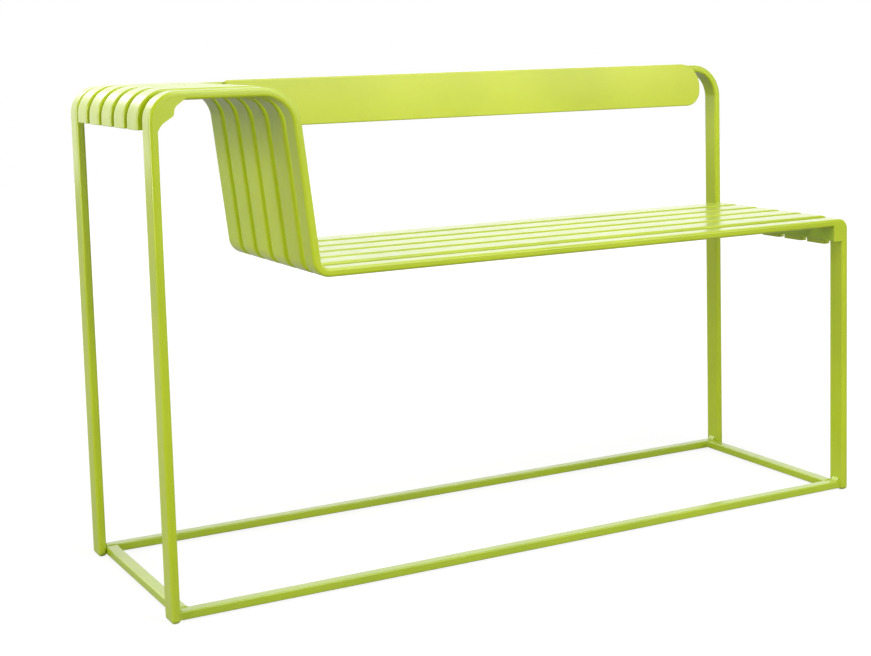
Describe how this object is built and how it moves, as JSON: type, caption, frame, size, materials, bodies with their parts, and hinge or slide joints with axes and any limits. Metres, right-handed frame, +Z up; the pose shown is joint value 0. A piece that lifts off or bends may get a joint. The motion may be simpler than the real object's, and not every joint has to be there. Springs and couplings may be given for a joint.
{
  "type": "bench",
  "caption": "Metal bench whose slats step down from a high side table over a leaning drop to a lower seat, with a long plate behind the seat.",
  "frame": {"origin": "middle of the footprint, on the floor", "axes": "+X along the bench from the table end to the seat end, +Y from the front to the plate at the back, +Z up"},
  "size_m": [1.204, 0.388, 0.7305],
  "materials": {
    "powder_coat": "lime green powder coat, semi-gloss"
  },
  "bodies": {
    "root": {"front_frame": "powder_coat", "rear_frame": "powder_coat", "slat_1": "powder_coat", "slat_2": "powder_coat", "slat_3": "powder_coat", "slat_4": "powder_coat", "slat_5": "powder_coat", "slat_end_caps": "powder_coat", "foot_caps": "powder_coat", "back_plate": "powder_coat", "table_cross_rail": "powder_coat", "table_rail_end_plates": "powder_coat", "seat_cross_rail": "powder_coat", "seat_rail_end_plates": "powder_coat", "base_rail_front": "powder_coat", "base_rail_rear": "powder_coat", "base_rail_left": "powder_coat", "base_rail_right": "powder_coat"}
  },
  "joints": []
}
